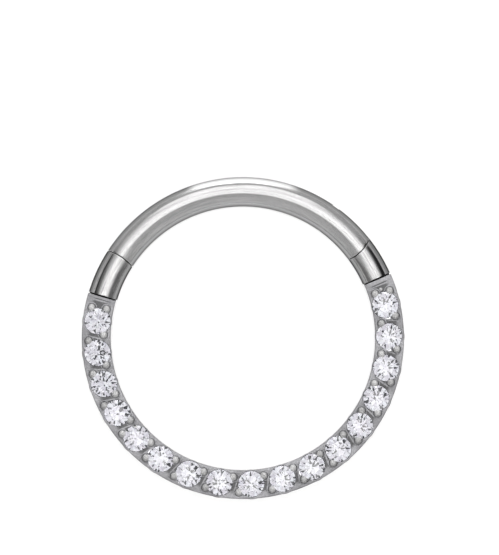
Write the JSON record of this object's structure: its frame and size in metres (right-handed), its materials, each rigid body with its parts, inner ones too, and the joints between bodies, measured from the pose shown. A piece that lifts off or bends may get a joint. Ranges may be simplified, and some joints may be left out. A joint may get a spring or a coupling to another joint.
{
  "type": "hinged segment clicker ring",
  "caption": "Round hinged segment ring for a piercing, with a row of bead-set round stones in its front face and a plain polished bar that swings open.",
  "frame": {"origin": "centre of the ring, on the surface that the ring lies on", "axes": "the ring lies in XY with its stones facing +Z; +Y runs from the origin to the top of the pictured ring, +X to its hinge side"},
  "size_m": [0.0122, 0.0122, 0.0012],
  "materials": {
    "polished_steel": "polished stainless steel wire, soft mirror",
    "sleeve_steel": "mirror polished stainless steel tube",
    "cast_steel": "cast and tumbled stainless steel, satin, with burnished beads",
    "stone": "colourless cubic zirconia, round brilliant cut, polished facets"
  },
  "bodies": {
    "ring": {"jewelled_arc": "cast_steel", "catch_sleeve": "sleeve_steel", "hinge_sleeve": "sleeve_steel", "stone_01": "stone", "stone_02": "stone", "stone_03": "stone", "stone_04": "stone", "stone_05": "stone", "stone_06": "stone", "stone_07": "stone", "stone_08": "stone", "stone_09": "stone", "stone_10": "stone", "stone_11": "stone", "stone_12": "stone", "stone_13": "stone", "stone_14": "stone", "stone_15": "stone", "stone_16": "stone", "stone_17": "stone"},
    "bar": {"segment": "polished_steel", "hinge_pin": "polished_steel"}
  },
  "joints": [
    {"name": "bar_hinge", "type": "hinge", "parent": "ring", "child": "bar", "pos_m": [0.00352, 0.00426, 0.00056], "axis": [0, 0, -1], "range_deg": [0, 90]}
  ]
}
